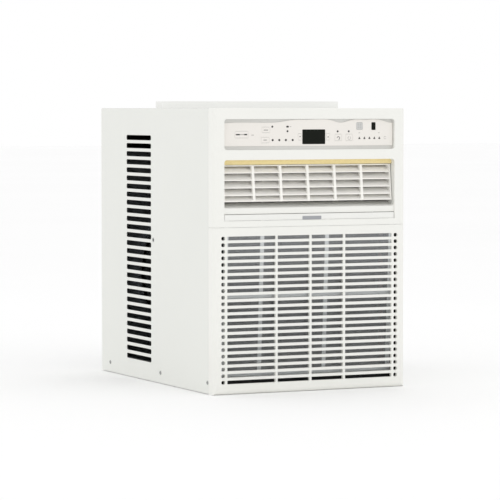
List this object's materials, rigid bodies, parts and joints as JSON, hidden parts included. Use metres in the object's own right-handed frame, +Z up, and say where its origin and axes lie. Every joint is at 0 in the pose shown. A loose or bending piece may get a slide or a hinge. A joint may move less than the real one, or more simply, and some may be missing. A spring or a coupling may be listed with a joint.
{
  "type": "window air conditioner",
  "caption": "Tall box-shaped slider-window air conditioner with slotted front grille, lift-out filter, tilting outlet louvre, swinging vanes and flush key panel.",
  "frame": {"origin": "under the middle of the unit, on the surface it stands on", "axes": "+X to the right seen from the front, +Y towards the outdoor end, +Z up; the front faces -Y"},
  "size_m": [0.3994, 0.536, 0.538],
  "materials": {
    "painted_steel": "satin off-white powder coat",
    "galvanised": "zinc-plated sheet",
    "front_plastic": "satin moulded white",
    "screw_steel": "zinc-plated",
    "shaft_steel": "ground",
    "black_rubber": "matt",
    "overlay_plastic": "satin warm white",
    "grey_key": "satin grey",
    "bezel_grey": "satin light grey",
    "dark_lens": "gloss near-black",
    "board": "solder mask",
    "tan_foam": "matt tan foam",
    "white_foam": "expanded foam, warm white",
    "louvre_plastic": "satin warm white",
    "filter_plastic": "satin light grey",
    "filter_net": "fine dark mesh",
    "tab_grey": "satin grey",
    "fin_aluminium": "bare sheet",
    "copper": "copper tube, slightly dulled",
    "black_steel": "black enamel",
    "motor_steel": "grey paint",
    "fan_plastic": "dark grey moulding",
    "capacitor_can": "drawn can"
  },
  "bodies": {
    "chassis": {"cabinet": "painted_steel", "rear_guard": "painted_steel", "top_rail": "painted_steel", "base_pan": "galvanised", "bulkhead": "galvanised", "fan_shroud": "galvanised", "evaporator_plates": "galvanised", "condenser_plates": "galvanised", "motor_bracket": "galvanised", "control_box": "galvanised", "front_fascia": "front_plastic", "intake_grille": "front_plastic", "housing_screws": "screw_steel", "rivet_nuts": "screw_steel", "compressor_bolts": "screw_steel", "cord_gland": "black_rubber", "drain_plug": "black_rubber", "compressor_grommets": "black_rubber", "control_overlay": "overlay_plastic", "control_bezel": "bezel_grey", "display_window": "dark_lens", "receiver_window": "dark_lens", "control_board": "board", "outlet_foam": "tan_foam", "outlet_duct": "white_foam", "blower_scroll": "white_foam", "evaporator_fins": "fin_aluminium", "condenser_fins": "fin_aluminium", "evaporator_tubes": "copper", "condenser_tubes": "copper", "suction_pipe": "copper", "discharge_pipe": "copper", "capillary_tube": "copper", "compressor": "black_steel", "accumulator": "black_steel", "fan_motor": "motor_steel", "run_capacitor": "capacitor_can"},
    "filter": {"filter_frame": "filter_plastic", "filter_mesh": "filter_net", "filter_tab": "tab_grey"},
    "louvre_body": {"louvre": "louvre_plastic"},
    "rotor": {"motor_shaft": "shaft_steel", "blower_wheel": "fan_plastic", "condenser_fan": "fan_plastic"},
    "link_body": {"vane_link": "louvre_plastic"},
    "vane_body_1": {"vane_1": "louvre_plastic"},
    "vane_body_2": {"vane_2": "louvre_plastic"},
    "vane_body_3": {"vane_3": "louvre_plastic"},
    "vane_body_4": {"vane_4": "louvre_plastic"},
    "vane_body_5": {"vane_5": "louvre_plastic"},
    "vane_body_6": {"vane_6": "louvre_plastic"},
    "power_key": {"power_button": "overlay_plastic"},
    "speed_key": {"speed_button": "overlay_plastic"},
    "mode_key": {"mode_button": "overlay_plastic"},
    "temp_down_key": {"temp_down_button": "overlay_plastic"},
    "temp_up_key": {"temp_up_button": "overlay_plastic"},
    "timer_key": {"timer_button": "overlay_plastic"},
    "eco_key": {"eco_button": "overlay_plastic"},
    "sleep_key": {"sleep_button": "grey_key"}
  },
  "joints": [
    {"name": "filter_slide", "type": "slide", "parent": "chassis", "child": "filter", "axis": [0, -0.0576, 0.9983], "range_m": [0, 0.29]},
    {"name": "louvre_tilt", "type": "hinge", "parent": "chassis", "child": "louvre_body", "pos_m": [0, -0.248, 0.39], "axis": [1, 0, 0], "range_deg": [-6, 25]},
    {"name": "vane_1_swing", "type": "hinge", "parent": "chassis", "child": "vane_body_1", "pos_m": [-0.13, -0.214, 0.386], "axis": [0, 0, 1], "range_deg": [-32, 32]},
    {"name": "vane_2_swing", "type": "hinge", "parent": "chassis", "child": "vane_body_2", "pos_m": [-0.078, -0.214, 0.386], "axis": [0, 0, 1], "range_deg": [-32, 32]},
    {"name": "vane_3_swing", "type": "hinge", "parent": "chassis", "child": "vane_body_3", "pos_m": [-0.026, -0.214, 0.386], "axis": [0, 0, 1], "range_deg": [-32, 32]},
    {"name": "vane_4_swing", "type": "hinge", "parent": "chassis", "child": "vane_body_4", "pos_m": [0.026, -0.214, 0.386], "axis": [0, 0, 1], "range_deg": [-32, 32]},
    {"name": "vane_5_swing", "type": "hinge", "parent": "chassis", "child": "vane_body_5", "pos_m": [0.078, -0.214, 0.386], "axis": [0, 0, 1], "range_deg": [-32, 32]},
    {"name": "vane_6_swing", "type": "hinge", "parent": "chassis", "child": "vane_body_6", "pos_m": [0.13, -0.214, 0.386], "axis": [0, 0, 1], "range_deg": [-32, 32]},
    {"name": "link_pivot", "type": "hinge", "parent": "vane_body_1", "child": "link_body", "pos_m": [-0.13, -0.199, 0.387], "axis": [0, 0, 1], "range_deg": [-32, 32]},
    {"name": "rotor_spin", "type": "hinge", "parent": "chassis", "child": "rotor", "pos_m": [0, 0, 0.2], "axis": [0, 1, 0], "continuous": true},
    {"name": "power_press", "type": "slide", "parent": "chassis", "child": "power_key", "axis": [0, 1, 0], "range_m": [0, 0.0009], "stiffness_N_per_m": 400},
    {"name": "speed_press", "type": "slide", "parent": "chassis", "child": "speed_key", "axis": [0, 1, 0], "range_m": [0, 0.0009], "stiffness_N_per_m": 400},
    {"name": "mode_press", "type": "slide", "parent": "chassis", "child": "mode_key", "axis": [0, 1, 0], "range_m": [0, 0.0009], "stiffness_N_per_m": 400},
    {"name": "temp_down_press", "type": "slide", "parent": "chassis", "child": "temp_down_key", "axis": [0, 1, 0], "range_m": [0, 0.0009], "stiffness_N_per_m": 400},
    {"name": "temp_up_press", "type": "slide", "parent": "chassis", "child": "temp_up_key", "axis": [0, 1, 0], "range_m": [0, 0.0009], "stiffness_N_per_m": 400},
    {"name": "timer_press", "type": "slide", "parent": "chassis", "child": "timer_key", "axis": [0, 1, 0], "range_m": [0, 0.0009], "stiffness_N_per_m": 400},
    {"name": "eco_press", "type": "slide", "parent": "chassis", "child": "eco_key", "axis": [0, 1, 0], "range_m": [0, 0.0009], "stiffness_N_per_m": 400},
    {"name": "sleep_press", "type": "slide", "parent": "chassis", "child": "sleep_key", "axis": [0, 1, 0], "range_m": [0, 0.0009], "stiffness_N_per_m": 400}
  ],
  "couplings": [
    {"joint": "vane_2_swing", "follows": "vane_1_swing", "ratio": 1},
    {"joint": "vane_3_swing", "follows": "vane_1_swing", "ratio": 1},
    {"joint": "vane_4_swing", "follows": "vane_1_swing", "ratio": 1},
    {"joint": "vane_5_swing", "follows": "vane_1_swing", "ratio": 1},
    {"joint": "vane_6_swing", "follows": "vane_1_swing", "ratio": 1},
    {"joint": "link_pivot", "follows": "vane_1_swing", "ratio": -1}
  ]
}
